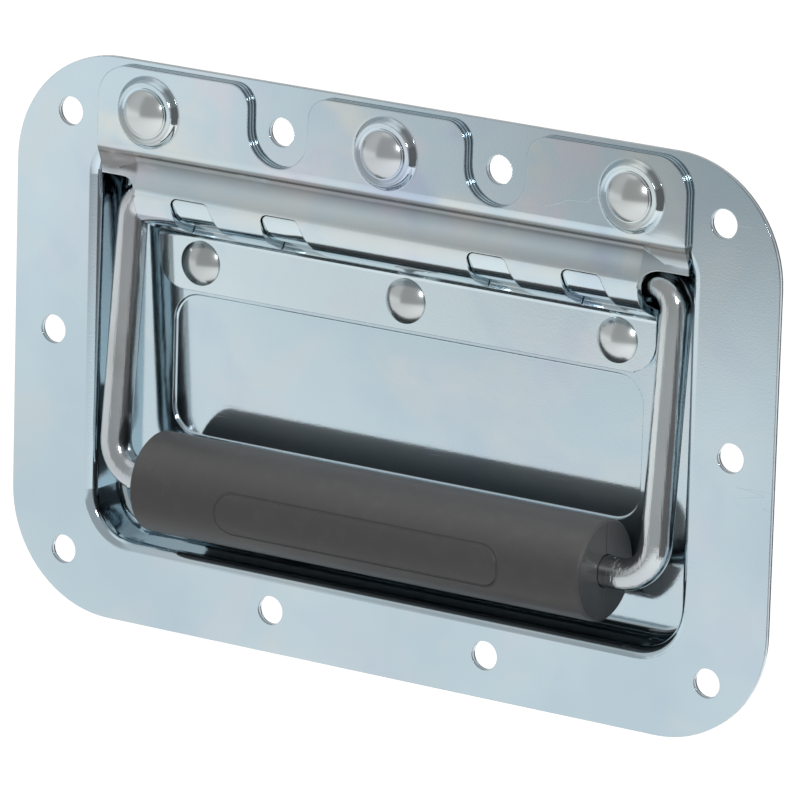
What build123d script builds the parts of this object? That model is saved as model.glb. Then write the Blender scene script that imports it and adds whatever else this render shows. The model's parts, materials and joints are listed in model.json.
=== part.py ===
import os
from math import asin, cos, radians, sin, tan

from build123d import *

# Recessed spring-loaded handle: a pressed dish plate, a two-leaf interlocking hinge riveted to it,
# a wire bail sprung back into the dish and a round moulded grip on the bail.
# Millimetres. X runs to the right, Y into the case, Z up. The origin is the middle of the
# pattern of fixing holes, on the back face of the flange.

# Dish plate
sheet = 1.2
flange_width = 178.1
flange_height = 116.1
flange_corner = 24.0
dish_top = 39.4
dish_depth = 9.4
dish_corner_low = 9.5
dish_corner_high = 6.0
rim_roll = 2.2
floor_bend = 1.6
wall_draft = 3.0
panel_step = 0.7
panel_inset = 3.6
panel_low = -19.5
panel_high = 9.9
panel_corner = 6.0
panel_bend = 0.5
floor_shift = -1.2

# Fixing holes, given as distances from the middle of the pattern
hole_diameter = 5.9
corner_hole_inset = 12.85
corner_hole_z = 45.5
inner_hole_x = 25.4
top_hole_z = 48.5
side_hole_offset = 0.68
bottom_hole_offset = 1.53

# Hinge, one thickness for both leaves
leaf_sheet = 1.5
hinge_shift = -0.4
barrel_half_length = 58.9
rod_depth = 4.35
rod_height = 30.6
barrel_inner_radius = 4.65
front_slope = 20.0
lip_slope = 24.6
leaf_split_depth = 6.0
hairline = 0.22

# Upper leaf
ear_width = 9.7
upper_top = 56.9
upper_corner = 7.0
shoulder_height = 39.9
shoulder_slope = 45.0
shoulder_bend = 3.4
valley_bend = 1.5
ear_low = 34.05
ear_depth = 0.3
ear_slope = 22.0
ear_blend = 5.0
ear_notch = 3.6
lobe_radius = 7.1
lobe_mouth = 4.5

# Lower leaf
lower_low = 10.9
lower_end_gap = 0.4
lower_corner = 6.5
lower_bend = 1.3

# Interlocking fingers
finger_width = 8.3
finger_top = 31.55
finger_inset = 13.1
finger_spacing = 21.6
finger_slope = 25.5
finger_lift = 1.1
finger_corner = 1.2
finger_lean = 0.4
finger_lean_low = 28.0
finger_flare = 2.9
finger_flare_low = 25.6
flare_bend = 3.0

# Rivets
rivet_shank = 5.0
rivet_play = 0.05
upper_rivet_inset = 12.2
upper_rivet_z = 48.2
upper_head = 9.4
upper_head_height = 2.0
boss_diameter = 14.7
boss_height = 1.3
boss_slope = 40.0
boss_play = 0.1
lower_rivet_inset = 9.9
lower_rivet_z = 16.8
lower_head = 9.1
lower_head_height = 2.0
dome_bands = 3
tail_diameter = 7.6
tail_height = 1.1

# Bail and grip
wire_diameter = 6.35
leg_gap = 4.8
leg_room = 5.6
bail_shift = 0.35
bail_length = 57.65
top_bend = 5.0
bottom_bend = 7.25
rod_end_gap = 16.0
grip_diameter = 20.4
grip_end_room = 10.8
grip_room = 4.41
grip_bore_play = 0.1
grip_edge = 0.5
grip_rest_gap = 0.3

# Torsion springs
spring_wire = 0.9
spring_play = 0.07
spring_turns = 4
spring_sides = 4
spring_pitch = 1.05
slot_play = 0.15
slot_depth = 2.2
tail_rest_gap = 0.1

# Places that follow from the sizes above
front = -sheet
floor_y = front + dish_depth
leaf_front = front - leaf_sheet
rod_y = front + rod_depth
rod_z = rod_height
barrel_radius = barrel_inner_radius + leaf_sheet
barrel_left = hinge_shift - barrel_half_length
barrel_right = hinge_shift + barrel_half_length
barrel_length = barrel_right - barrel_left
lower_front = floor_y - leaf_sheet
lower_half_length = barrel_half_length - lower_end_gap
lower_left = floor_shift - lower_half_length
upper_half_width = barrel_half_length + ear_width
outer_finger = barrel_half_length - finger_inset
inner_finger = outer_finger - finger_spacing
finger_offsets = (-outer_finger, -inner_finger, inner_finger, outer_finger)
finger_places = [(hinge_shift + offset_x, 0) for offset_x in finger_offsets]
upper_rivet_x = upper_half_width - upper_rivet_inset
lower_rivet_x = barrel_half_length - lower_rivet_inset
upper_rivets = {"left": -upper_rivet_x, "middle": 0.0, "right": upper_rivet_x}
lower_rivets = {
    "left": hinge_shift - lower_rivet_x,
    "middle": hinge_shift,
    "right": hinge_shift + lower_rivet_x,
}
wire_radius = wire_diameter / 2
leg_half_span = barrel_half_length + leg_gap
grip_length = 2 * (leg_half_span - grip_end_room)
grip_y = floor_y - grip_rest_gap - grip_diameter / 2
bail_lean = asin((rod_y - grip_y) / bail_length)
grip_z = rod_z - bail_length * cos(bail_lean)
dish_half_width = leg_half_span + leg_room
dish_bottom = grip_z - grip_diameter / 2 - grip_room
panel_half_width = barrel_half_length - panel_inset
corner_hole_x = flange_width / 2 - corner_hole_inset
side_hole_x = (dish_half_width + rim_roll + flange_width / 2) / 2 - side_hole_offset
bottom_hole_z = (flange_height / 2 + rim_roll - dish_bottom) / 2 - bottom_hole_offset
past = 40.0


def facing(y):
    # Plane seen from the front at depth y: local x is X, local y is Z, extruding comes forward
    return Plane.XZ.offset(-y)


def on_lip(y):
    # Height of the underside of the hinge at depth y, on the straight that leaves the barrel
    angle = radians(270 - lip_slope)
    start_y = rod_y + barrel_radius * cos(angle)
    start_z = rod_z + barrel_radius * sin(angle)
    return start_z - (y - start_y) * tan(radians(lip_slope))


def barrel_corner():
    # Where the front straight and the lip straight would meet without the barrel's bend
    first = 180 - front_slope
    last = 270 - lip_slope
    reach = barrel_radius / cos(radians((last - first) / 2))
    middle = radians((first + last) / 2)
    return (rod_y + reach * cos(middle), rod_z + reach * sin(middle))


def on_front(z):
    # Depth of the barrel's front straight at height z
    corner_y, corner_z = barrel_corner()
    return corner_y + (z - corner_z) * tan(radians(front_slope))


def valley_corner():
    # Where the inclined shoulder meets the barrel's front straight
    rise = 1 / tan(radians(shoulder_slope))
    corner_y, corner_z = barrel_corner()
    slope = tan(radians(front_slope))
    z = (shoulder_height + rise * (leaf_front - corner_y + slope * corner_z)) / (1 + rise * slope)
    return (on_front(z), z)


def knuckle_corner():
    # Where the front straight and the underside of a finger would meet
    rise = tan(radians(finger_slope))
    slope = tan(radians(front_slope))
    corner_y, corner_z = barrel_corner()
    low_y, low_z = lower_front, on_lip(lower_front) + finger_lift
    z = (low_z + rise * (low_y - corner_y + slope * corner_z)) / (1 + rise * slope)
    return (on_front(z), z)


def sheet_band(x, points, radii):
    # Section of bent leaf at x: the given line is its front face, the sheet lies behind it
    with BuildSketch(Plane.YZ.offset(x)) as section:
        with BuildLine():
            face_line = FilletPolyline(*points, radius=radii)
            offset(face_line, amount=leaf_sheet, side=Side.LEFT, closed=True)
        make_face()
    return section.sketch


# Finger outline in front view: a tab that leans and flares towards its root
finger_half = finger_width / 2
with BuildSketch() as finger_sketch:
    Polygon(
        (finger_lean - finger_half, lower_low),
        (finger_half + finger_flare, lower_low),
        (finger_half + finger_flare, finger_flare_low),
        (finger_half, finger_top),
        (-finger_half, finger_top),
        (finger_lean - finger_half, finger_lean_low),
        align=None,
    )
    fillet(finger_sketch.vertices().group_by(Axis.Y)[-1], radius=finger_corner)
    flare_corner = finger_sketch.vertices().filter_by_position(
        Axis.Y, finger_flare_low - hairline, finger_flare_low + hairline)
    fillet(flare_corner, radius=flare_bend)

# Notch that takes the finger, a hairline wider all round
with BuildSketch() as notch_sketch:
    add(finger_sketch.sketch_local)
    offset(amount=hairline, kind=Kind.INTERSECTION)

# Dish plate: flange, rolled rim, drafted walls, flat floor with a shallow panel
dish_width = 2 * dish_half_width
dish_height = dish_top - dish_bottom
dish_middle = (dish_top + dish_bottom) / 2
panel_middle = (panel_low + panel_high) / 2


def dish_outline(growth):
    # The dish opening in front view, grown all round
    with BuildSketch(facing(front)) as outline:
        with Locations((0, dish_middle)):
            Rectangle(dish_width + 2 * growth, dish_height + 2 * growth)
        fillet(outline.vertices().group_by(Axis.Y)[0], radius=dish_corner_low + growth)
        fillet(outline.vertices().group_by(Axis.Y)[-1], radius=dish_corner_high + growth)
    return outline.sketch


def panel_outline(y, growth):
    # The sunken panel in front view at depth y
    with BuildSketch(facing(y)) as outline:
        with Locations((floor_shift, panel_middle)):
            RectangleRounded(
                2 * (panel_half_width + growth),
                panel_high - panel_low + 2 * growth,
                panel_corner + growth,
            )
    return outline.sketch


with BuildPart() as dish_plate:
    with BuildSketch(facing(0)):
        RectangleRounded(flange_width, flange_height, flange_corner)
    extrude(amount=sheet)
    extrude(dish_outline(sheet), amount=-(dish_depth + sheet), taper=wall_draft)
    back_edges = dish_plate.faces().sort_by(Axis.Y)[-1].edges()
    fillet(back_edges, radius=floor_bend + sheet)
    root_edges = dish_plate.faces().filter_by(Axis.Y).sort_by(Axis.Y)[1].inner_wires().edges()
    fillet(root_edges, radius=rim_roll - sheet)
    extrude(panel_outline(floor_y + sheet, sheet / 2), amount=-panel_step)
    extrude(dish_outline(0), amount=-dish_depth, taper=wall_draft, mode=Mode.SUBTRACT)
    floor_face = dish_plate.faces().filter_by(Axis.Y).filter_by_position(
        Axis.Y, floor_y - hairline, floor_y + hairline)
    fillet(floor_face.edges(), radius=floor_bend)
    rim_face = dish_plate.faces().filter_by(Axis.Y).sort_by(Axis.Y)[0]
    fillet(rim_face.inner_wires().edges(), radius=rim_roll)
    extrude(panel_outline(floor_y, 0), amount=-panel_step, mode=Mode.SUBTRACT)
    step_edges = dish_plate.faces().filter_by(Axis.Y).filter_by_position(
        Axis.Y, floor_y + panel_step - hairline, floor_y + panel_step + hairline).edges()
    fillet(step_edges, radius=panel_bend)
    # Dimples that carry the upper leaf's bosses and take the rivet tails behind
    with BuildSketch(facing(front)):
        with Locations(*[(x, upper_rivet_z) for x in upper_rivets.values()]):
            Circle(boss_diameter / 2 - leaf_sheet - boss_play)
    extrude(amount=boss_height, taper=boss_slope)
    with BuildSketch(facing(0)):
        with Locations(*[(x, upper_rivet_z) for x in upper_rivets.values()]):
            Circle(boss_diameter / 2 - leaf_sheet - boss_play - sheet / 2)
    extrude(amount=boss_height, taper=boss_slope / 2, mode=Mode.SUBTRACT)
    # Fixing holes and rivet holes
    with BuildSketch(facing(floor_y + 2 * sheet)):
        with GridLocations(2 * corner_hole_x, 2 * corner_hole_z, 2, 2):
            Circle(hole_diameter / 2)
        with Locations((-inner_hole_x, top_hole_z), (inner_hole_x, top_hole_z)):
            Circle(hole_diameter / 2)
        with Locations((-inner_hole_x, -bottom_hole_z), (inner_hole_x, -bottom_hole_z)):
            Circle(hole_diameter / 2)
        with Locations((-side_hole_x, 0), (side_hole_x, 0)):
            Circle(hole_diameter / 2)
        with Locations(*[(x, upper_rivet_z) for x in upper_rivets.values()]):
            Circle(rivet_shank / 2 + rivet_play)
        with Locations(*[(x, lower_rivet_z) for x in lower_rivets.values()]):
            Circle(rivet_shank / 2 + rivet_play)
    extrude(amount=past, mode=Mode.SUBTRACT)

# Upper leaf: flat on the flange, over the rim, round the front of the rod and back beneath it
shoulder_point = (leaf_front, shoulder_height)
ear_y = front + ear_depth
ear_corner = (ear_y, shoulder_height - (ear_y - leaf_front) / tan(radians(ear_slope)))
ear_end = rod_z
barrel_line = [
    (leaf_front, upper_top),
    shoulder_point,
    valley_corner(),
    barrel_corner(),
    (front + leaf_split_depth - hairline, on_lip(front + leaf_split_depth - hairline)),
]
joint_line = [(leaf_front, upper_top), shoulder_point, valley_corner(), (on_front(ear_end), ear_end)]
ear_line = [(leaf_front, upper_top), shoulder_point, ear_corner, (ear_y, ear_end)]
leaf_bends = [shoulder_bend, valley_bend]

with BuildPart() as upper_leaf:
    extrude(sheet_band(barrel_left, barrel_line, [*leaf_bends, barrel_radius]), amount=barrel_length)
    for end, way in ((barrel_left, -1), (barrel_right, 1)):
        blend_end = end + way * ear_blend
        loft([sheet_band(end, joint_line, leaf_bends), sheet_band(blend_end, ear_line, leaf_bends)])
        ear_length = way * upper_half_width - blend_end
        extrude(sheet_band(blend_end, ear_line, leaf_bends), amount=ear_length)
    # Outline in front view, with the two lobes round the fixing holes and the finger notches
    with BuildSketch(facing(floor_y)) as upper_outline:
        with Locations((0, upper_top)):
            Rectangle(2 * upper_half_width, past, align=(Align.CENTER, Align.MAX))
        fillet(upper_outline.vertices().group_by(Axis.Y)[-1], radius=upper_corner)
        with Locations((barrel_right, ear_low)):
            Rectangle(past, past, align=(Align.MIN, Align.MAX), mode=Mode.SUBTRACT)
        with Locations((barrel_left, ear_low)):
            Rectangle(past, past, align=(Align.MAX, Align.MAX), mode=Mode.SUBTRACT)
        for end in (barrel_left, barrel_right):
            inner_corner = upper_outline.vertices().sort_by_distance((end, ear_low, 0))[0]
            fillet(inner_corner, radius=ear_notch)
        for hole_x in (-inner_hole_x, inner_hole_x):
            with Locations((hole_x, top_hole_z)):
                Circle(lobe_radius, mode=Mode.SUBTRACT)
                Rectangle(2 * lobe_radius, past, align=(Align.CENTER, Align.MIN), mode=Mode.SUBTRACT)
            for side in (-1, 1):
                mouth = (hole_x + side * lobe_radius, upper_top, 0)
                fillet(upper_outline.vertices().sort_by_distance(mouth)[0], radius=lobe_mouth)
        with Locations(*finger_places):
            add(notch_sketch.sketch_local, mode=Mode.SUBTRACT)
    extrude(amount=past, mode=Mode.INTERSECT)
    # Round bosses over the rivets
    with BuildSketch(facing(leaf_front)):
        with Locations(*[(x, upper_rivet_z) for x in upper_rivets.values()]):
            Circle(boss_diameter / 2)
    extrude(amount=boss_height, taper=boss_slope)
    with BuildSketch(facing(front)):
        with Locations(*[(x, upper_rivet_z) for x in upper_rivets.values()]):
            Circle(boss_diameter / 2 - leaf_sheet)
    extrude(amount=boss_height, taper=boss_slope, mode=Mode.SUBTRACT)
    with BuildSketch(facing(floor_y)):
        with Locations(*[(x, upper_rivet_z) for x in upper_rivets.values()]):
            Circle(rivet_shank / 2 + rivet_play)
    extrude(amount=past, mode=Mode.SUBTRACT)

# Lower leaf: flat on the dish floor, bent forward under the rod, with fingers up its front
split_y = front + leaf_split_depth
lower_corner_point = (lower_front, on_lip(lower_front))
finger_corner_point = (lower_front, on_lip(lower_front) + finger_lift)
lower_line = [(split_y, on_lip(split_y)), lower_corner_point, (lower_front, lower_low)]
finger_line = [
    (on_front(rod_z + barrel_radius), rod_z + barrel_radius),
    knuckle_corner(),
    finger_corner_point,
    (lower_front, lower_low),
]

with BuildPart() as fingers:
    extrude(sheet_band(barrel_left, finger_line, [barrel_radius, lower_bend]), amount=barrel_length)
    with BuildSketch(facing(floor_y)):
        with Locations(*finger_places):
            add(finger_sketch.sketch_local)
    extrude(amount=past, mode=Mode.INTERSECT)

with BuildPart() as lower_leaf:
    extrude(sheet_band(lower_left, lower_line, [lower_bend]), amount=2 * lower_half_length)
    corner_edges = lower_leaf.edges().filter_by(Axis.Y).group_by(Axis.Z)[0]
    fillet(corner_edges, radius=lower_corner)
    add(fingers.part)
    with BuildSketch(facing(floor_y)):
        with Locations(*[(x, lower_rivet_z) for x in lower_rivets.values()]):
            Circle(rivet_shank / 2 + rivet_play)
    extrude(amount=past, mode=Mode.SUBTRACT)


def dome_rivet(x, z, face_y, grip_thickness, head, head_height):
    # Rivet on a face at depth face_y: domed head in front, shank, flat tail behind
    cap_radius = (head * head / 4 + head_height * head_height) / (2 * head_height)
    cap_angle = asin(head / 2 / cap_radius)
    band_angles = [cap_angle * band / dome_bands for band in range(dome_bands + 1)]
    dome = [
        (cap_radius * sin(angle), cap_radius * (1 - cos(angle)) - head_height)
        for angle in band_angles
    ]
    with BuildPart() as rivet:
        with BuildSketch(Plane.XZ.offset(-face_y)):
            with Locations((x, z)):
                Circle(rivet_shank / 2)
        extrude(amount=-(grip_thickness + tail_height))
        with BuildSketch(Plane.XZ.offset(-(face_y + grip_thickness))):
            with Locations((x, z)):
                Circle(tail_diameter / 2)
        extrude(amount=-tail_height)
        tail_rim = rivet.edges().filter_by(GeomType.CIRCLE).sort_by(Axis.Y)[-1]
        chamfer(tail_rim, length=tail_height / 3)
        with BuildSketch(Plane(origin=(x, face_y, z), x_dir=(1, 0, 0), z_dir=(0, 0, 1))):
            with BuildLine():
                Polyline(*dome, (0, 0), close=True)
            make_face()
        revolve(axis=Axis((x, face_y, z), (0, 1, 0)))
    return rivet.part


# Bail: one wire through the grip, up both sides and inward along the hinge axis
bail_plane = Plane(
    origin=(0, rod_y, rod_z),
    x_dir=(1, 0, 0),
    z_dir=(0, -cos(bail_lean), sin(bail_lean)),
)
leg_left = bail_shift - leg_half_span
leg_right = bail_shift + leg_half_span
rod_end_left = hinge_shift - rod_end_gap / 2
rod_end_right = hinge_shift + rod_end_gap / 2

with BuildPart() as bail_wire:
    with BuildLine(bail_plane) as bail_path:
        FilletPolyline(
            (rod_end_left, 0),
            (leg_left, 0),
            (leg_left, -bail_length),
            (leg_right, -bail_length),
            (leg_right, 0),
            (rod_end_right, 0),
            radius=[top_bend, bottom_bend, bottom_bend, top_bend],
        )
    with BuildSketch(Plane(origin=bail_path.line @ 0, z_dir=bail_path.line % 0)):
        Circle(wire_radius)
    sweep()
    # A slot across each end of the wire takes the inner tail of a spring
    for end, way in ((rod_end_left, -1), (rod_end_right, 1)):
        with BuildSketch(Plane.YZ.offset(end)):
            with Locations((rod_y, rod_z)):
                Rectangle(spring_wire + 2 * slot_play, 2 * wire_diameter)
        extrude(amount=way * slot_depth, mode=Mode.SUBTRACT)

# Grip: round moulding on the lower run of the wire
grip_plane = Plane(
    origin=(bail_shift - grip_length / 2, grip_y, grip_z),
    x_dir=(0, 1, 0),
    z_dir=(1, 0, 0),
)

with BuildPart() as grip:
    with BuildSketch(grip_plane):
        Circle(grip_diameter / 2)
    extrude(amount=grip_length)
    chamfer(grip.edges(), length=grip_edge)
    with BuildSketch(grip_plane):
        Circle(wire_radius + grip_bore_play)
    extrude(amount=grip_length, mode=Mode.SUBTRACT)

# Torsion springs wound on the two ends of the wire inside the barrel
coil_radius = wire_radius + spring_play + spring_wire / 2
tail_reach = floor_y - tail_rest_gap - spring_wire / 2 - rod_y


def torsion_spring():
    # Wound along local Z: the coil, the tail that bears on the dish floor, the tail in the slot
    length = spring_turns * spring_pitch
    with BuildPart() as spring:
        with BuildLine() as coil:
            Helix(spring_pitch, length, coil_radius)
        start = coil.line @ 0
        heading = coil.line % 0
        with BuildSketch(Plane(origin=start, x_dir=(1, 0, 0), z_dir=heading)):
            RegularPolygon(spring_wire / 2, spring_sides)
        sweep(is_frenet=True)
        with BuildSketch(Plane(origin=start, x_dir=(1, 0, 0), z_dir=-heading)):
            RegularPolygon(spring_wire / 2, spring_sides)
        extrude(amount=tail_reach)
        with BuildSketch(Plane.YZ.offset(-coil_radius)):
            with Locations((0, length)):
                RegularPolygon(spring_wire / 2, spring_sides)
        extrude(amount=2 * coil_radius)
    return spring.part


spring_outer_x = rod_end_left - slot_depth / 2 - spring_turns * spring_pitch
spring_plane = Plane(origin=(spring_outer_x, rod_y, rod_z), x_dir=(0, 0, 1), z_dir=(1, 0, 0))
spring_left = torsion_spring().moved(spring_plane.location)
spring_right = mirror(spring_left, about=Plane.YZ.offset(hinge_shift))

os.makedirs("parts", exist_ok=True)
pieces = {
    "dish_plate": dish_plate.part,
    "upper_hinge_leaf": upper_leaf.part,
    "lower_hinge_leaf": lower_leaf.part,
    "bail_wire": bail_wire.part,
    "grip": grip.part,
    "torsion_spring_left": spring_left,
    "torsion_spring_right": spring_right,
}
for side, x in upper_rivets.items():
    pieces[f"upper_rivet_{side}"] = dome_rivet(
        x, upper_rivet_z, leaf_front - boss_height, leaf_sheet + sheet, upper_head, upper_head_height
    )
for side, x in lower_rivets.items():
    pieces[f"lower_rivet_{side}"] = dome_rivet(
        x, lower_rivet_z, lower_front, leaf_sheet + sheet, lower_head, lower_head_height
    )
for name, piece in pieces.items():
    piece.label = name
    export_step(piece, f"parts/{name}.step")
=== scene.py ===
import json
import math

import bmesh
import bpy
from mathutils import Euler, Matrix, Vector


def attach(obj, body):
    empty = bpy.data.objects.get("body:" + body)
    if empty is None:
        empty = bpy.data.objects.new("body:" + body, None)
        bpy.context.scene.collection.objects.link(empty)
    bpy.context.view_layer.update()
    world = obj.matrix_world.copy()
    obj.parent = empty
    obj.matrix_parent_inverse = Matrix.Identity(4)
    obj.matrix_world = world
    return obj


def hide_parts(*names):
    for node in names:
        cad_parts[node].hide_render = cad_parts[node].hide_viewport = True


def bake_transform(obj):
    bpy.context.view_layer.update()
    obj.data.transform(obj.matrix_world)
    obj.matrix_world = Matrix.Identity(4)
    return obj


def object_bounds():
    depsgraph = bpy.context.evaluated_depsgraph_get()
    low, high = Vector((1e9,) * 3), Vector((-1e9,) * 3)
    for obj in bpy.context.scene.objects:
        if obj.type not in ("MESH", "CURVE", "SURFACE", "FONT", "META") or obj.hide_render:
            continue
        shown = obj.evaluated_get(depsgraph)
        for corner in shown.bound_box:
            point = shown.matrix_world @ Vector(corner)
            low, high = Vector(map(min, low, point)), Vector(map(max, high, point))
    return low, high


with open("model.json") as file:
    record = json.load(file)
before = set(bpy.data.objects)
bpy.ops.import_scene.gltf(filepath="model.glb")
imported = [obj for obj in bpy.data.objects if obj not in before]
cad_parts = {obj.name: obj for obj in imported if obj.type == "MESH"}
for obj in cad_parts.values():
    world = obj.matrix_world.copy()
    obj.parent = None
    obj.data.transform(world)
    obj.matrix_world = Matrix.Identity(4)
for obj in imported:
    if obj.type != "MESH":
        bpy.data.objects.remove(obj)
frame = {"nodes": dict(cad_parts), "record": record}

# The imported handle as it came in: its box is the one that every dressed piece stays inside
bpy.context.view_layer.update()
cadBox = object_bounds()
nodes = frame["nodes"]
mm = 0.001
print("frame loaded:", len(nodes), "nodes")


def nodeBox(name):
    # lowest and highest corner of one piece, from its mesh
    places = [v.co for v in nodes[name].data.vertices]
    return (Vector(min(p[i] for p in places) for i in range(3)),
            Vector(max(p[i] for p in places) for i in range(3)))


class Wire:
    # One socket of a node tree. Arithmetic on it adds Math nodes.
    def __init__(self, maker, socket):
        self.maker = maker
        self.socket = socket

    def out(self, name):
        return Wire(self.maker, self.socket.node.outputs[name])

    def math(self, operation, *others):
        return self.maker.add("ShaderNodeMath", {"operation": operation},
                              dict(enumerate([self, *others])))

    def __add__(self, other):
        return self.math("ADD", other)

    __radd__ = __add__

    def __sub__(self, other):
        return self.math("SUBTRACT", other)

    def __rsub__(self, other):
        return self.maker.add("ShaderNodeMath", {"operation": "SUBTRACT"}, {0: other, 1: self})

    def __mul__(self, other):
        return self.math("MULTIPLY", other)

    __rmul__ = __mul__

    def __truediv__(self, other):
        return self.math("DIVIDE", other)

    def size(self):
        return self.math("ABSOLUTE")

    def top(self, other):
        return self.math("MAXIMUM", other)

    def between(self, low, high):
        # 0 below low, 1 above high, smooth between them
        return self.maker.add("ShaderNodeMapRange", {"interpolation_type": "SMOOTHSTEP"},
                              {"Value": self, "From Min": low, "From Max": high})

    def spread(self, low, high):
        # a 0 to 1 value laid out from low to high
        return self * (high - low) + low

    def hump(self, middle, width):
        # 1 at the middle, falling away like a bell
        far = (self - middle) * (1 / width)
        return (far * far * -1).math("EXPONENT")


def opaque(colour):
    # a colour's three values with a full alpha, or a socket as it is
    return colour if isinstance(colour, Wire) else (*colour, 1)


class Maker:
    # Adds nodes to one tree. Settings are set first, then the sockets, by name or number.
    def __init__(self, tree):
        self.tree = tree

    def add(self, kind, settings=None, sockets=None):
        node = self.tree.nodes.new(kind)
        for name, value in (settings or {}).items():
            setattr(node, name, value)
        for name, value in (sockets or {}).items():
            socket = node.inputs[name] if isinstance(name, int) else self.openSocket(node, name)
            if isinstance(value, Wire):
                self.tree.links.new(value.socket, socket)
            else:
                socket.default_value = value
        return Wire(self, node.outputs[0])

    def openSocket(self, node, name):
        return next(s for s in node.inputs if s.name == name and s.enabled)

    def vector(self, operation, first, second):
        return self.add("ShaderNodeVectorMath", {"operation": operation}, {0: first, 1: second})

    def axes(self, place):
        split = self.add("ShaderNodeSeparateXYZ", None, {"Vector": place})
        return split.out("X"), split.out("Y"), split.out("Z")

    def spot(self, x, y, z):
        return self.add("ShaderNodeCombineXYZ", None, {"X": x, "Y": y, "Z": z})

    def mixColour(self, factor, first, second):
        mixed = self.add("ShaderNodeMix", {"data_type": "RGBA"}, {
            "Factor": factor, "A": opaque(first), "B": opaque(second)})
        return Wire(self, next(s for s in mixed.socket.node.outputs if s.enabled))

    def noise(self, place, scale, detail=2.0, roughness=0.5, distortion=0.0):
        return self.add("ShaderNodeTexNoise", None, {
            "Vector": place, "Scale": scale, "Detail": detail, "Roughness": roughness,
            "Distortion": distortion})

    def stretched(self, place, scale, turn=(0, 0, 0)):
        return self.add("ShaderNodeMapping", {"vector_type": "POINT"}, {
            "Vector": place, "Scale": scale, "Rotation": turn})

    def rounded(self, radius):
        return self.add("ShaderNodeBevel", {"samples": 4}, {"Radius": radius})

    def bump(self, height, distance, normal, strength=1.0):
        return self.add("ShaderNodeBump", None, {
            "Strength": strength, "Distance": distance, "Height": height, "Normal": normal})

    def glow(self, colour, level):
        return self.add("ShaderNodeEmission", None, {"Color": opaque(colour), "Strength": level})

    def line(self, start, end):
        return self.add("GeometryNodeCurvePrimitiveLine", {"mode": "POINTS"},
                        {"Start": start, "End": end})

    def joined(self, parts):
        join = self.tree.nodes.new("GeometryNodeJoinGeometry")
        for part in parts:
            self.tree.links.new(part.socket, join.inputs[0])
        return Wire(self, join.outputs[0])


def newMaterial(name):
    material = bpy.data.materials.new(name)
    material.use_nodes = True
    material.node_tree.nodes.clear()
    return material, Maker(material.node_tree)


def finishMaterial(maker, surface):
    output = maker.tree.nodes.new("ShaderNodeOutputMaterial")
    maker.tree.links.new(surface.socket, output.inputs["Surface"])


# Zinc-plated steel: blue passivation with faint pink, straw and violet patches, drawing marks,
# hairline scratches, sheared edges, a painted shade outline along the corners and bare wear along
# them
zincLook = {
    "colour": (0.530, 0.635, 0.690),
    "deepColour": (0.475, 0.590, 0.650),
    "cloudScale": 22.0,
    "smudgeScale": 95.0,
    "smudge": 0.15,
    "tints": {
        "pink": ((0.590, 0.610, 0.665), 3.1, 0.9),
        "straw": ((0.620, 0.655, 0.635), 7.7, 0.8),
        "violet": ((0.400, 0.470, 0.640), 12.3, 0.5),
    },
    "tintScale": 34.0,
    "tint": 0.35,
    "edgeRadius": 0.22 * mm,
    # painted shade: the dark outline along the corners
    "edgeOutlineShadeColour": (0.300, 0.360, 0.390),
    "outline": 0.0,
    "wornColour": (0.700, 0.740, 0.750),
    "worn": 0.7,
    # sheared edges: real burnish and tear, partly painted dark reflection and painted highlight
    "shearAndDarkReflectionColour": (0.200, 0.270, 0.310),
    "burnishAndHighlightColour": (0.85, 0.93, 0.97),
    "shearSoft": 0.2 * mm,
    "rippleTurn": 5.2,
    "rippleDrift": 0.3,
    "rippleDepth": 0.07,
    # painted reflection: the cream streaks on the upper leaf's knuckle
    "paintedReflectionColour": (0.585, 0.625, 0.618),
    # painted shade: the crease under the shoulder and the hollows of the ears
    "paintedCreaseShadeColour": (0.120, 0.112, 0.105),
    "roughness": 0.085,
    "roughnessSpread": 0.05,
    "grainScale": 2600.0,
    "grain": 0.085,
    "drawn": (60.0, 900.0, 1400.0),
    "drawnDepth": 0.015,
    "hairs": (30.0, 30.0, 210.0),
    "hairTurn": (0, 0.5, 0),
    "hairWidth": 0.0035,
    "hairScale": 60.0,
    "scratch": 0.05,
    "fineDepth": 0.05 * mm,
}
dishLook = {
    **zincLook,
    "shear": 0.5,
    "outline": 0.3,
    "shearReach": (-1.2 * mm, 0.0, -1.0),
}
upperLeafLook = {
    **zincLook,
    "tint": 1.0,
    "edgeRadius": 0.34 * mm,
    "shear": 0.9,
    "outline": 0.9,
    "shearReach": (-2.7 * mm, -1.2 * mm, 40.2 * mm),
}
lowerLeafLook = {
    **zincLook,
    "colour": (0.600, 0.700, 0.735),
    "deepColour": (0.550, 0.655, 0.695),
    "tint": 0.5,
    "edgeRadius": 0.28 * mm,
    "shear": 0.6,
    "outline": 0.6,
    "shearReach": (6.6 * mm, 8.2 * mm, -1.0),
}
wireLook = {
    **zincLook,
    "colour": (0.580, 0.630, 0.645),
    "deepColour": (0.430, 0.455, 0.460),
    "tint": 0.3,
    "roughness": 0.16,
    "roughnessSpread": 0.16,
    "grain": 0.35,
    "drawn": (1300.0, 1300.0, 45.0),
    "drawnDepth": 1.5,
    "edgeRadius": 0.15 * mm,
}
rivetLook = {
    **zincLook,
    "colour": (0.570, 0.610, 0.615),
    "deepColour": (0.480, 0.510, 0.510),
    "tint": 0.4,
    "roughness": 0.21,
    "grain": 0.10,
    "edgeRadius": 0.15 * mm,
}
springLook = {
    **zincLook,
    "colour": (0.30, 0.32, 0.34),
    "deepColour": (0.20, 0.215, 0.23),
    "tint": 0.0,
    "roughness": 0.30,
    "edgeRadius": 0.05 * mm,
}
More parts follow.
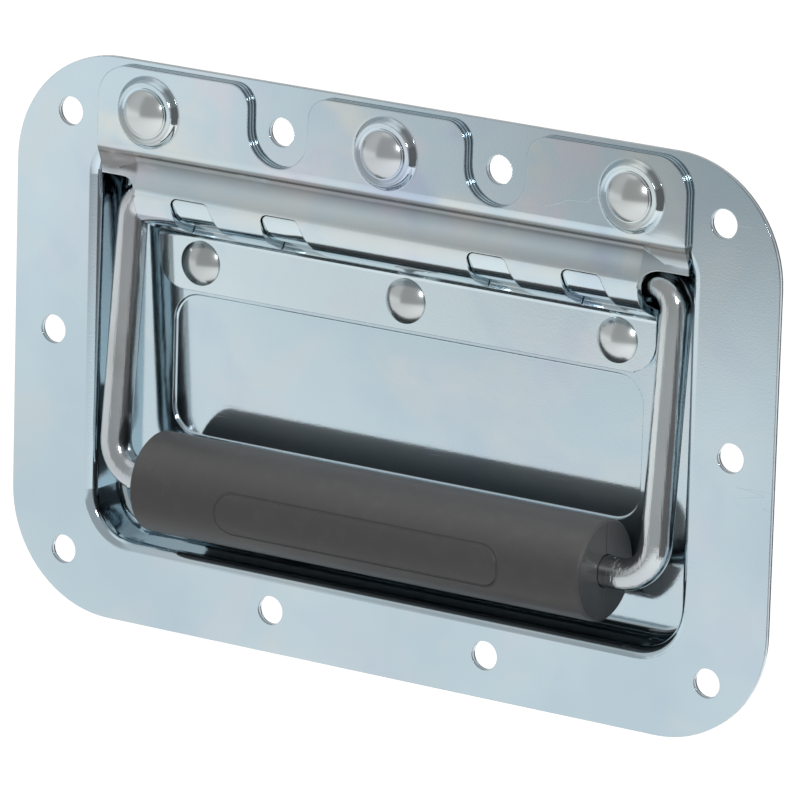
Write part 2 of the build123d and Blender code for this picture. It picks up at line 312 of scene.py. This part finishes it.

# What the upper leaf has on its face, painted cream reflection and painted shade among it: depths
# are in mm, the rest in metres or as shares
leafShape = {
    "shoulderLow": 39.5 * mm,
    "shoulderHigh": 40.1 * mm,
    "bellyHeight": 33.6 * mm,
    "bellyWidth": 4.2 * mm,
    "bellyDepth": 1.0,
    # painted reflection: cream streaks across the knuckle's front
    "paintedReflectionHeight": 31.2 * mm,
    "paintedReflectionWidth": 3.6 * mm,
    "paintedReflectionStreaks": (70.0, 160.0, 160.0),
    "paintedReflection": 0.85,
    "dentSide": 64.0 * mm,
    "dentHeight": 37.4 * mm,
    "dentWidth": 3.6 * mm,
    "dentTall": 2.4 * mm,
    "dentDepth": 0.45,
    # painted shade under the shoulder, down the knuckle and in the ears' hollows
    "paintedCreaseShadeHeight": 38.75 * mm,
    "paintedCreaseShadeWidth": 0.85 * mm,
    "paintedCreaseShadePatches": (120.0, 300.0, 500.0),
    "paintedCreaseShade": 0.95,
    "fadeLow": 34.6 * mm,
    "fade": 0.72,
    "earSide": 59.6 * mm,
    "earSoft": 0.8 * mm,
    "earLow": 34.7 * mm,
    "earRise": 1.2 * mm,
    "ear": 0.8,
    "litSoft": 1.0 * mm,
    "litLow": 35.8 * mm,
    "litHigh": 37.6 * mm,
    "rimRadius": 6.5 * mm,
    "rimWidth": 0.55 * mm,
    "rimDepth": 0.16,
    "seatRadius": 4.95 * mm,
    "seatWidth": 0.32 * mm,
    "seatDepth": 0.18,
}


def leafHeight(maker, place, look):
    # height in mm: the swell of the knuckle's front, dents at the two ears, rolled rims and seats
    # of the bosses. With it go the masks of the painted cream reflection and of the painted crease
    # shade.
    x, y, z = maker.axes(place)
    below = 1 - z.between(look["shoulderLow"], look["shoulderHigh"])
    belly = z.hump(look["bellyHeight"], look["bellyWidth"]) * look["bellyDepth"] * below
    # painted reflection: cream streaks along the knuckle
    streaks = maker.noise(maker.stretched(place, look["paintedReflectionStreaks"]), 1.0, 3.0, 0.6)
    paintedReflection = z.hump(look["paintedReflectionHeight"], look["paintedReflectionWidth"]) * streaks.between(0.25, 0.6)
    paintedReflection = paintedReflection * look["paintedReflection"]
    dents = x.size().hump(look["dentSide"], look["dentWidth"])
    dents = dents * z.hump(look["dentHeight"], look["dentTall"]) * look["dentDepth"]
    height = belly - dents
    for name in ("upper_rivet_left", "upper_rivet_middle", "upper_rivet_right"):
        low, high = nodeBox(name)
        middle = (low + high) / 2
        across, up = x - middle.x, z - middle.z
        radius = (across * across + up * up).math("SQRT")
        height = height + radius.hump(look["rimRadius"], look["rimWidth"]) * look["rimDepth"]
        height = height - radius.hump(look["seatRadius"], look["seatWidth"]) * look["seatDepth"]

    # painted shade: a dark line under the shoulder, fading down the knuckle, and in the hollows of
    # the two ears, left out of the right one's lower part, which is painted as lit
    patchy = maker.noise(maker.stretched(place, look["paintedCreaseShadePatches"]), 1.0, 3.0, 0.6)
    paintedCreaseShade = z.hump(look["paintedCreaseShadeHeight"], look["paintedCreaseShadeWidth"]) * look["paintedCreaseShade"]
    fade = z.between(look["fadeLow"], look["paintedCreaseShadeHeight"]) * below * look["fade"]
    side = x.size().between(look["earSide"] - look["earSoft"], look["earSide"] + look["earSoft"])
    right = x.between(-look["litSoft"], look["litSoft"])
    lit = right * (1 - z.between(look["litLow"], look["litHigh"]))
    ear = side * z.between(look["earLow"], look["earLow"] + look["earRise"]) * below * (1 - lit)
    dark = paintedCreaseShade.top(fade).top(ear * look["ear"]) * patchy.between(-0.1, 0.5)
    return height, paintedReflection, dark


def shearedSide(maker, look, place, plain, smudges):
    # mask of the sheet's sheared sides within their reach, and the ripple that runs through them
    front, back, above = look["shearReach"]
    soft = look["shearSoft"]
    x, y, z = maker.axes(place)
    side = 1 - maker.axes(plain)[1].size().between(0.15, 0.4)
    side = side * y.between(front - soft, front)
    side = side * (1 - y.between(back, back + soft))
    side = side * z.between(above - soft, above)
    depth = y * (1 / mm) + smudges * look["rippleDrift"]
    return side, (depth * look["rippleTurn"]).math("SINE")


def zincMaterial(name, look, shape=None):
    material, maker = newMaterial(name)
    place = maker.add("ShaderNodeTexCoord").out("Object")
    clouds = maker.noise(place, look["cloudScale"], 3.0, 0.55)
    smudges = maker.noise(place, look["smudgeScale"], 4.0, 0.6, 0.4)
    grain = maker.noise(place, look["grainScale"], 2.0, 0.6)
    drawn = maker.noise(maker.stretched(place, look["drawn"]), 1.0, 3.0, 0.6)
    hairs = maker.noise(maker.stretched(place, look["hairs"], look["hairTurn"]), 1.0, 2.0, 0.5)
    hairLine = 1 - (hairs - 0.5).size().between(0.0, look["hairWidth"])
    scratches = hairLine * maker.noise(place, look["hairScale"]).between(0.58, 0.70)

    colour = maker.mixColour(clouds.between(0.35, 0.68), look["deepColour"], look["colour"])
    for tintColour, shift, reach in look["tints"].values():
        moved = maker.vector("ADD", place, (shift, shift, shift))
        patch = maker.noise(moved, look["tintScale"], 3.0, 0.55, 0.6).between(0.52, 0.68)
        colour = maker.mixColour(patch * (look["tint"] * reach), colour, tintColour)
    smudge = smudges.between(0.55, 0.75) * look["smudge"]
    colour = maker.mixColour(smudge, colour, look["deepColour"])

    # the corner lines: a thin dark outline of painted shade, worn bright in places
    plain = maker.add("ShaderNodeNewGeometry").out("Normal")
    normal = maker.rounded(look["edgeRadius"])
    corner = 1 - maker.vector("DOT_PRODUCT", normal, plain).out("Value")
    line = corner.between(0.01, 0.12)
    colour = maker.mixColour(line * look["outline"], colour, look["edgeOutlineShadeColour"])
    worn = line * smudges.between(0.45, 0.62) * look["worn"]
    colour = maker.mixColour(worn, colour, look["wornColour"])

    # sheared edges of the sheet: burnished and torn bands, partly real shear marks and partly
    # painted highlight and painted dark reflection stripes
    if "shear" in look:
        side, ripple = shearedSide(maker, look, place, plain, smudges)
        tornAndDarkReflection = side * ripple.between(-0.4, 0.4) * look["shear"]
        colour = maker.mixColour(tornAndDarkReflection, colour, look["shearAndDarkReflectionColour"])
        burnishAndHighlight = side * (1 - ripple.between(-0.8, 0.0)) * look["shear"]
        colour = maker.mixColour(burnishAndHighlight, colour, look["burnishAndHighlightColour"])
        normal = maker.bump(side * ripple * look["rippleDepth"], mm, normal)
    if shape:
        height, paintedReflection, dark = leafHeight(maker, place, shape)
        # painted cream reflection on the knuckle
        colour = maker.mixColour(paintedReflection, colour, look["paintedReflectionColour"])
        # painted shade of the crease and the ears' hollows
        colour = maker.mixColour(dark, colour, look["paintedCreaseShadeColour"])
        normal = maker.bump(height, mm, normal)

    scored = scratches * look["scratch"]
    roughness = look["roughness"] + (smudges - 0.5) * look["roughnessSpread"] + scored
    fine = grain * look["grain"] + drawn * look["drawnDepth"] - scored
    normal = maker.bump(fine, look["fineDepth"], normal)
    finishMaterial(maker, maker.add("ShaderNodeBsdfPrincipled", None, {
        "Base Color": colour, "Metallic": 1.0, "Roughness": roughness, "Normal": normal}))
    return material


# Grip: charcoal moulding with a fine spark-eroded grain, dust in patches, a painted sheen on its
# upper half, the mould's parting line along the top, the bottom and both ends, and a plain sunk
# frame in front, both lines with painted shade
gripLook = {
    "colour": (0.028, 0.028, 0.029),
    # painted sheen: the upper half lighter, in the same colour as the dust
    "dustAndSheenColour": (0.079, 0.078, 0.077),
    "paintedTopSheen": 0.62,
    "paintedTopSheenLow": -3.0 * mm,
    "paintedTopSheenHigh": 10.0 * mm,
    "rubbed": 0.2,
    "rubbedScale": 240.0,
    # painted shade in the grooves of the sunk frame and of the parting line
    "grooveShadeColour": (0.016, 0.016, 0.017),
    "line": 0.65,
    "roughness": 0.42,
    "cloudScale": 60.0,
    "grainScale": 2300.0,
    "grainDepth": 0.035 * mm,
    "edgeRadius": 0.4 * mm,
    "seamWidth": 0.16 * mm,
    "seamDepth": 0.12 * mm,
    "frameMiddle": 1.4 * mm,
    "frameHalfLength": 33.2 * mm,
    "frameHalfArc": 4.4 * mm,
    "frameTurn": -5.0,
    "frameCorner": 3.9 * mm,
    "frameLine": 0.38 * mm,
    "frameDepth": 0.32 * mm,
    # the frame groove's painted shade fades over this far up its upper side, by this share
    "frameFade": 3.0 * mm,
    "frameFaded": 0.7,
}


def gripMaterial(name, look):
    material, maker = newMaterial(name)
    gripLow, gripHigh = nodeBox("grip")
    axis = (gripLow + gripHigh) / 2
    radius = (gripHigh.z - gripLow.z) / 2
    place = maker.add("ShaderNodeTexCoord").out("Object")
    x, y, z = maker.axes(place)
    clouds = maker.noise(place, look["cloudScale"], 3.0, 0.55)
    grain = maker.noise(place, look["grainScale"], 2.0, 0.65)
    rubbed = maker.noise(place, look["rubbedScale"], 4.0, 0.65)

    # distance from the frame's rounded outline, laid out flat round the grip
    turned = (z - axis.z).math("ARCTAN2", axis.y - y) - math.radians(look["frameTurn"])
    arc = turned * radius
    corner = look["frameCorner"]
    overX = ((x - look["frameMiddle"]).size() - (look["frameHalfLength"] - corner)).top(0)
    overArc = (arc.size() - (look["frameHalfArc"] - corner)).top(0)
    outline = ((overX * overX + overArc * overArc).math("SQRT") - corner).size()
    frameLine = 1 - outline.between(0.0, look["frameLine"])
    seam = 1 - (y - axis.y).size().between(0.0, look["seamWidth"])

    # painted sheen lightening the upper half, mixed with random dust
    paintedTopSheen = arc.between(look["paintedTopSheenLow"], look["paintedTopSheenHigh"]) * look["paintedTopSheen"]
    dustAndSheen = rubbed.between(0.45, 0.8) * look["rubbed"] + paintedTopSheen
    colour = maker.mixColour(dustAndSheen, look["colour"], look["dustAndSheenColour"])
    # painted shade in the frame's groove, fading on its upper side, and in the parting line
    frameShade = frameLine * (1 - arc.between(0.0, look["frameFade"]) * look["frameFaded"])
    colour = maker.mixColour(frameShade.top(seam) * look["line"], colour, look["grooveShadeColour"])
    roughness = look["roughness"] + (clouds - 0.5) * 0.15 + (grain - 0.5) * 0.1
    sunk = frameLine * -look["frameDepth"] - seam * look["seamDepth"]
    normal = maker.bump(sunk, 1.0, maker.rounded(look["edgeRadius"]))
    normal = maker.bump(grain + rubbed * 0.5, look["grainDepth"], normal, 0.6)
    finishMaterial(maker, maker.add("ShaderNodeBsdfPrincipled", None, {
        "Base Color": colour, "Roughness": roughness, "IOR": 1.48, "Normal": normal}))
    return material


finishes = {
    "dish_plate": zincMaterial("dishZinc", dishLook),
    "upper_hinge_leaf": zincMaterial("upperLeafZinc", upperLeafLook, leafShape),
    "lower_hinge_leaf": zincMaterial("lowerLeafZinc", lowerLeafLook),
    "bail_wire": zincMaterial("wireZinc", wireLook),
    "rivet": zincMaterial("rivetZinc", rivetLook),
    "spring": zincMaterial("springSteel", springLook),
    "grip": gripMaterial("gripPlastic", gripLook),
}
for nodeName, node in nodes.items():
    kind = next(k for k in finishes if k in nodeName)
    for slot in node.material_slots:
        slot.material = finishes[kind]
print("finishes made:", len(finishes))


def openTree(name, inputNames):
    # a Geometry Nodes tree with named inputs: its maker, and each input by its name
    tree = bpy.data.node_groups.new(name, "GeometryNodeTree")
    for inputName in inputNames:
        tree.interface.new_socket(inputName, in_out="INPUT", socket_type="NodeSocketFloat")
    tree.interface.new_socket("Geometry", in_out="OUTPUT", socket_type="NodeSocketGeometry")
    maker = Maker(tree)
    groupInput = tree.nodes.new("NodeGroupInput")
    return maker, {socket.name: Wire(maker, socket) for socket in groupInput.outputs if socket.name}


def closeTree(maker, shape, material):
    real = maker.add("GeometryNodeRealizeInstances", None, {"Geometry": shape})
    finished = maker.add("GeometryNodeSetMaterial", None, {"Geometry": real, "Material": material})
    groupOutput = maker.tree.nodes.new("NodeGroupOutput")
    maker.tree.links.new(finished.socket, groupOutput.inputs[0])
    return maker.tree


def plainMesh(name, tree, values):
    # runs the tree once and keeps only its mesh
    source = bpy.data.objects.new(name + "Source", bpy.data.meshes.new(name + "Source"))
    bpy.context.scene.collection.objects.link(source)
    modifier = source.modifiers.new(name, "NODES")
    modifier.node_group = tree
    for item in tree.interface.items_tree:
        if item.item_type == "SOCKET" and item.in_out == "INPUT" and item.name in values:
            modifier[item.identifier] = values[item.name]
    bpy.context.view_layer.update()
    graph = bpy.context.evaluated_depsgraph_get()
    mesh = bpy.data.meshes.new_from_object(source.evaluated_get(graph))
    mesh.name = name
    source.modifiers.clear()
    bpy.data.objects.remove(source)
    shell = bmesh.new()
    shell.from_mesh(mesh)
    bmesh.ops.recalc_face_normals(shell, faces=shell.faces)
    shell.to_mesh(mesh)
    shell.free()
    mesh.shade_smooth()
    mesh.set_sharp_from_angle(angle=math.radians(40))
    piece = bpy.data.objects.new(name, mesh)
    bpy.context.scene.collection.objects.link(piece)
    return piece


def bodyOf(nodeName):
    bodies = frame["record"]["behaviour"]["bodies"]
    return next(body for body, names in bodies.items() if nodeName in names)


# Rivets: turned heads with true domes, shanks and upset tails, three in a row
rivetShape = {
    "turns": 56,
    "domeSteps": 14,
    "headTall": 2.0 * mm,
    "rim": 0.25 * mm,
    "neck": 5.0 * mm,
    "tailAcross": 7.6 * mm,
    "tailTall": 1.1 * mm,
    "tailCorner": 0.37 * mm,
    "spindle": 0.001 * mm,
    "weld": 0.01 * mm,
}


def rivetTree(name, look, material):
    maker, sizes = openTree(name, (
        "Spacing", "First X", "Face Y", "Middle Z", "Head Radius", "Head Height", "Neck Radius",
        "Grip Length", "Tail Radius", "Tail Height", "Tail Corner", "Rim"))
    radius, tall = sizes["Head Radius"], sizes["Head Height"]
    neck, grip = sizes["Neck Radius"], sizes["Grip Length"]
    tail, tailTall = sizes["Tail Radius"], sizes["Tail Height"]
    corner, rim = sizes["Tail Corner"], sizes["Rim"]

    # third point of the dome's arc, from the radius of its sphere
    rise = tall - rim
    sphere = (radius * radius + rise * rise) / (rise * 2)
    half = radius * 0.5
    drop = sphere - (sphere * sphere - half * half).math("SQRT")
    dome = maker.add("GeometryNodeCurveArc", {"mode": "POINTS"}, {
        "Resolution": look["domeSteps"], "Start": maker.spot(0.0, tall, 0.0),
        "Middle": maker.spot(half, tall - drop, 0.0), "End": maker.spot(radius, rim, 0.0)})

    # half the rivet's section, swept round a spindle too thin to matter, its poles then welded
    low = grip * -1
    end = low - tailTall
    outline = [maker.spot(across, up, 0.0) for across, up in (
        (radius, rim), (radius, 0.0), (neck, 0.0), (neck, low), (tail, low),
        (tail, end + corner), (tail - corner, end), (0.0, end))]
    section = maker.joined([dome, *[maker.line(a, b) for a, b in zip(outline, outline[1:])]])
    spindle = maker.add("GeometryNodeCurvePrimitiveCircle", None, {
        "Resolution": look["turns"], "Radius": look["spindle"]})
    turned = maker.add("GeometryNodeCurveToMesh", None, {
        "Curve": spindle, "Profile Curve": section})
    turned = maker.add("GeometryNodeMergeByDistance", None, {
        "Geometry": turned, "Distance": look["weld"]})

    # the turning axis is laid along Y, with the heads looking to the front
    facing = maker.add("GeometryNodeTransform", None, {
        "Geometry": turned, "Rotation": (math.radians(-90), 0, 0)})
    row = maker.add("GeometryNodeMeshLine", {"mode": "OFFSET"}, {
        "Count": 3,
        "Start Location": maker.spot(sizes["First X"], sizes["Face Y"], sizes["Middle Z"]),
        "Offset": maker.spot(sizes["Spacing"], 0.0, 0.0)})
    placed = maker.add("GeometryNodeInstanceOnPoints", None, {"Points": row, "Instance": facing})
    return closeTree(maker, placed, material)


for row in ("upper", "lower"):
    names = [row + "_rivet_" + side for side in ("left", "middle", "right")]
    firstLow, firstHigh = nodeBox(names[0])
    lastLow, lastHigh = nodeBox(names[2])
    first, last = (firstLow + firstHigh) / 2, (lastLow + lastHigh) / 2
    headTall, tailTall = rivetShape["headTall"], rivetShape["tailTall"]
    tree = rivetTree(row + "RivetTree", rivetShape, finishes["rivet"])
    rivets = plainMesh(row + "Rivets", tree, {
        "Spacing": (last.x - first.x) / 2, "First X": first.x, "Face Y": firstLow.y + headTall,
        "Middle Z": first.z, "Head Radius": (firstHigh.x - firstLow.x) / 2,
        "Head Height": headTall, "Neck Radius": rivetShape["neck"] / 2,
        "Grip Length": firstHigh.y - firstLow.y - headTall - tailTall,
        "Tail Radius": rivetShape["tailAcross"] / 2, "Tail Height": tailTall,
        "Tail Corner": rivetShape["tailCorner"], "Rim": rivetShape["rim"]})
    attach(rivets, bodyOf(names[0]))
    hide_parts(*names)
    print(row, "rivets turned:", len(rivets.data.polygons), "faces")

# Torsion springs: round wire wound on the two ends of the bail, one tail on the dish floor and
# one across the end of the bail
springShape = {
    "axis": (3.15 * mm, 30.6 * mm),
    "starts": {
        "torsion_spring_left": (-13.7 * mm, 1.0),
        "torsion_spring_right": (12.9 * mm, -1.0),
    },
    "coilRadius": 3.695 * mm,
    "wireAcross": 0.9 * mm,
    "turns": 4.0,
    "pitch": 1.05 * mm,
    "tailReach": 4.5 * mm,
    "steps": 160,
    "around": 12,
}


def springTree(name, look, material):
    maker, sizes = openTree(name, (
        "Start X", "Side", "Axis Y", "Axis Z", "Coil Radius", "Wire Radius", "Turns", "Pitch",
        "Tail Reach"))
    x, y, z = sizes["Start X"], sizes["Axis Y"], sizes["Axis Z"]
    radius = sizes["Coil Radius"]
    length = sizes["Turns"] * sizes["Pitch"] * sizes["Side"]
    along = maker.add("GeometryNodeSplineParameter")
    angle = along * sizes["Turns"] * (2 * math.pi)
    straight = maker.line(maker.spot(x, y, z), maker.spot(x + length, y, z))
    steps = maker.add("GeometryNodeResampleCurve", {"mode": "COUNT"},
                      {"Curve": straight, "Count": look["steps"]})
    coil = maker.add("GeometryNodeSetPosition", None, {
        "Geometry": steps,
        "Position": maker.spot(x + length * along, y - radius * angle.math("SINE"),
                               z + radius * angle.math("COSINE"))})
    top = z + radius
    outerTail = maker.line(maker.spot(x, y, top), maker.spot(x, y + sizes["Tail Reach"], top))
    innerTail = maker.line(maker.spot(x + length, y, z - radius), maker.spot(x + length, y, top))
    ring = maker.add("GeometryNodeCurvePrimitiveCircle", None, {
        "Resolution": look["around"], "Radius": sizes["Wire Radius"]})
    wound = maker.add("GeometryNodeCurveToMesh", None, {
        "Curve": maker.joined([coil, outerTail, innerTail]), "Profile Curve": ring,
        "Fill Caps": True})
    return closeTree(maker, wound, material)


tree = springTree("springTree", springShape, finishes["spring"])
for nodeName, (startX, side) in springShape["starts"].items():
    axisY, axisZ = springShape["axis"]
    spring = plainMesh(nodeName + "Round", tree, {
        "Start X": startX, "Side": side, "Axis Y": axisY, "Axis Z": axisZ,
        "Coil Radius": springShape["coilRadius"], "Wire Radius": springShape["wireAcross"] / 2,
        "Turns": springShape["turns"], "Pitch": springShape["pitch"],
        "Tail Reach": springShape["tailReach"]})
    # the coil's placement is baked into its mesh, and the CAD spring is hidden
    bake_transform(spring)
    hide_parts(nodeName)
    cadLow, cadHigh = nodeBox(nodeName)
    newLow = [min(v.co[i] for v in spring.data.vertices) for i in range(3)]
    newHigh = [max(v.co[i] for v in spring.data.vertices) for i in range(3)]
    print(nodeName, "wound, off its CAD box by",
          max(abs(a - b) / mm for a, b in zip([*newLow, *newHigh], [*cadLow, *cadHigh])), "mm")

# Camera
cameraLook = {
    "place": (0.82007, -1.26358, 0.39070),
    "turnDegrees": (75.38947, -1.55670, 33.28496),
    "lens": 356.331,
    "sensor": 36.0,
    "reach": 20.0,
}


def addCamera(look):
    camera = bpy.data.objects.new("camera", bpy.data.cameras.new("camera"))
    bpy.context.scene.collection.objects.link(camera)
    camera.location = look["place"]
    camera.rotation_euler = Euler([math.radians(a) for a in look["turnDegrees"]], "XYZ")
    camera.data.lens = look["lens"]
    camera.data.sensor_width = look["sensor"]
    camera.data.clip_end = look["reach"]
    bpy.context.scene.camera = camera


addCamera(cameraLook)

# Studio: a pale floor, a white surround, cloths that the metal mirrors, a lamp and a wide scrim.
# A turn is so many degrees right of the front and above the horizon.
studioLook = {
    "floorDrop": 0.30,
    "floorSize": 12.0,
    "floorColour": 0.55,
    "floorLift": 0.75,
    "mirrorLift": 0.61,
    "worldLevel": 0.5,
    "skyRadius": 1.3,
    "skySteps": (96, 64),
    "skyFoot": 0.1,
    "skyLow": -0.267,
    "skyHigh": -0.190,
    "edgeTurn": -122.5,
    "edgeSoft": 0.096,
    "cardLevel": 1.08,
    "cardLow": -0.14,
    "cardHigh": 0.10,
    "cardRest": 0.40,
    "frontTurn": (-8, 5),
    "frontReach": (45, 95),
    "frontLevel": 0.50,
    "sideLevel": 0.22,
    "topTurn": (-20, 75),
    "topReach": (8, 30),
    "topLevel": 1.10,
    "lampTurn": (45.0, 24.0),
    "lampDistance": 1.15,
    "lampSize": 0.17,
    "lampWatts": 3.4,
    "scrimTurn": (58.0, 50.0),
    "scrimDistance": 1.15,
    "scrimSize": 0.7,
    "scrimWatts": 10.0,
    "boardPlace": (0.0, 0.10),
    "boardSize": (0.34, 0.22),
    "boardDrop": 0.26,
    "boardColour": (0.22, 0.20, 0.195),
    "flagSide": 0.62,
    "flagStart": -0.45,
    "flagDepth": 1.5,
    "flagFoot": 0.001,
    "flagTall": 0.62,
    "flagColour": (0.17, 0.16, 0.16),
}
floorHeight = cadBox[0].z - studioLook["floorDrop"]


def direction(turn):
    # unit vector towards a turn
    across, up = (math.radians(a) for a in turn)
    return Vector((math.sin(across) * math.cos(up), -math.cos(across) * math.cos(up), math.sin(up)))


def levelCorners(x, y, z, halfX, halfY):
    return [(x - halfX, y - halfY, z), (x + halfX, y - halfY, z),
            (x + halfX, y + halfY, z), (x - halfX, y + halfY, z)]


def fourSided(name, corners):
    mesh = bpy.data.meshes.new(name)
    mesh.from_pydata(corners, [], [(0, 1, 2, 3)])
    return mesh


def addPiece(mesh, material):
    # one piece of the studio, which is no part of the handle
    piece = bpy.data.objects.new(mesh.name, mesh)
    bpy.context.scene.collection.objects.link(piece)
    mesh.materials.append(material)
    return piece


def addMirrored(mesh, material):
    # a glowing piece of the studio that only the metal sees
    piece = addPiece(mesh, material)
    piece.visible_camera = False
    piece.visible_diffuse = False
    piece.visible_shadow = False
    material.cycles.emission_sampling = "NONE"


def addFloor(look):
    material, maker = newMaterial("floorFinish")
    shade = look["floorColour"]
    diffuse = maker.add("ShaderNodeBsdfDiffuse", None, {"Color": opaque((shade, shade, shade))})
    path = maker.add("ShaderNodeLightPath")
    seen = path.out("Is Camera Ray").top(path.out("Is Transmission Ray")) * look["floorLift"]
    level = seen.top(path.out("Is Glossy Ray") * look["mirrorLift"])
    lift = maker.glow((1, 1, 1), level)
    finishMaterial(maker, maker.add("ShaderNodeAddShader", None, {0: diffuse, 1: lift}))
    half = look["floorSize"] / 2
    addPiece(fourSided("floor", levelCorners(0, 0, floorHeight, half, half)), material)


def addDark(name, corners, colour):
    material, maker = newMaterial(name + "Finish")
    finishMaterial(maker, maker.glow(colour, 1.0))
    addMirrored(fourSided(name, corners), material)


def addBoards(look):
    # two dark boards: one lies below, one stands on the right
    low = cadBox[0].z - look["boardDrop"]
    halfX, halfY = look["boardSize"][0] / 2, look["boardSize"][1] / 2
    addDark("lowBoard", levelCorners(*look["boardPlace"], low, halfX, halfY), look["boardColour"])
    side, near, far = look["flagSide"], look["flagStart"], look["flagStart"] + look["flagDepth"]
    foot = floorHeight + look["flagFoot"]
    head = foot + look["flagTall"]
    addDark("sideBoard", [(side, near, foot), (side, far, foot), (side, far, head),
                          (side, near, head)], look["flagColour"])


def addSky(look):
    # white cloth all round: a bright card to the left, grey in front, darker right and behind
    mesh = bpy.data.meshes.new("sky")
    shell = bmesh.new()
    around, upwards = look["skySteps"]
    bmesh.ops.create_uvsphere(shell, u_segments=around, v_segments=upwards,
                              radius=look["skyRadius"])
    low = [v for v in shell.verts if v.co.z < floorHeight - look["skyFoot"]]
    bmesh.ops.delete(shell, geom=low, context="VERTS")
    shell.to_mesh(mesh)
    shell.free()
    material, maker = newMaterial("skyFinish")
    place = maker.add("ShaderNodeTexCoord").out("Object")
    ray = maker.add("ShaderNodeVectorMath", {"operation": "NORMALIZE"}, {0: place})
    up = maker.axes(ray)[2]

    def facing(turn):
        # cosine of the angle to a turn
        return maker.vector("DOT_PRODUCT", ray, direction(turn)).out("Value")

    def towards(turn, reach):
        # 1 within the inner degrees of a turn, 0 outside the outer ones, smooth between
        inner, outer = (math.cos(math.radians(a)) for a in reach)
        return facing(turn).between(outer, inner)

    front = towards(look["frontTurn"], look["frontReach"])
    level = front.spread(look["sideLevel"], look["frontLevel"])
    top = towards(look["topTurn"], look["topReach"])
    level = level + top * (look["topLevel"] - look["frontLevel"])
    card = facing((look["edgeTurn"], 0)).between(-look["edgeSoft"], look["edgeSoft"])
    card = card * (1 - up.between(look["cardLow"], look["cardHigh"]) * (1 - look["cardRest"]))
    level = level + card * (look["cardLevel"] - level)
    level = 1 - up.between(look["skyLow"], look["skyHigh"]) * (1 - level)
    finishMaterial(maker, maker.glow((1, 1, 1), level))
    addMirrored(mesh, material)


def addLamp(name, look, shine):
    light = bpy.data.lights.new(name, "AREA")
    light.energy = look[name + "Watts"]
    light.shape = "DISK"
    light.size = look[name + "Size"]
    lamp = bpy.data.objects.new(name, light)
    bpy.context.scene.collection.objects.link(lamp)
    lamp.location = direction(look[name + "Turn"]) * look[name + "Distance"]
    lamp.rotation_euler = lamp.location.to_track_quat("Z", "Y").to_euler()
    lamp.visible_glossy = shine


def addWorld(look):
    # white where the camera, a mirror or a window looks at it, grey as a light
    world = bpy.data.worlds.new("studio")
    world.use_nodes = True
    bpy.context.scene.world = world
    world.node_tree.nodes.clear()
    maker = Maker(world.node_tree)
    path = maker.add("ShaderNodeLightPath")
    seen = path.out("Is Camera Ray").top(path.out("Is Glossy Ray"))
    seen = seen.top(path.out("Is Transmission Ray"))
    background = maker.add("ShaderNodeBackground", None, {
        "Color": (1, 1, 1, 1), "Strength": seen.spread(look["worldLevel"], 1.0)})
    output = world.node_tree.nodes.new("ShaderNodeOutputWorld")
    world.node_tree.links.new(background.socket, output.inputs["Surface"])


addFloor(studioLook)
addBoards(studioLook)
addSky(studioLook)
addLamp("lamp", studioLook, True)
addLamp("scrim", studioLook, False)
addWorld(studioLook)
bpy.context.scene.view_settings.view_transform = "Standard"
print("studio set")

bpy.context.view_layer.update()
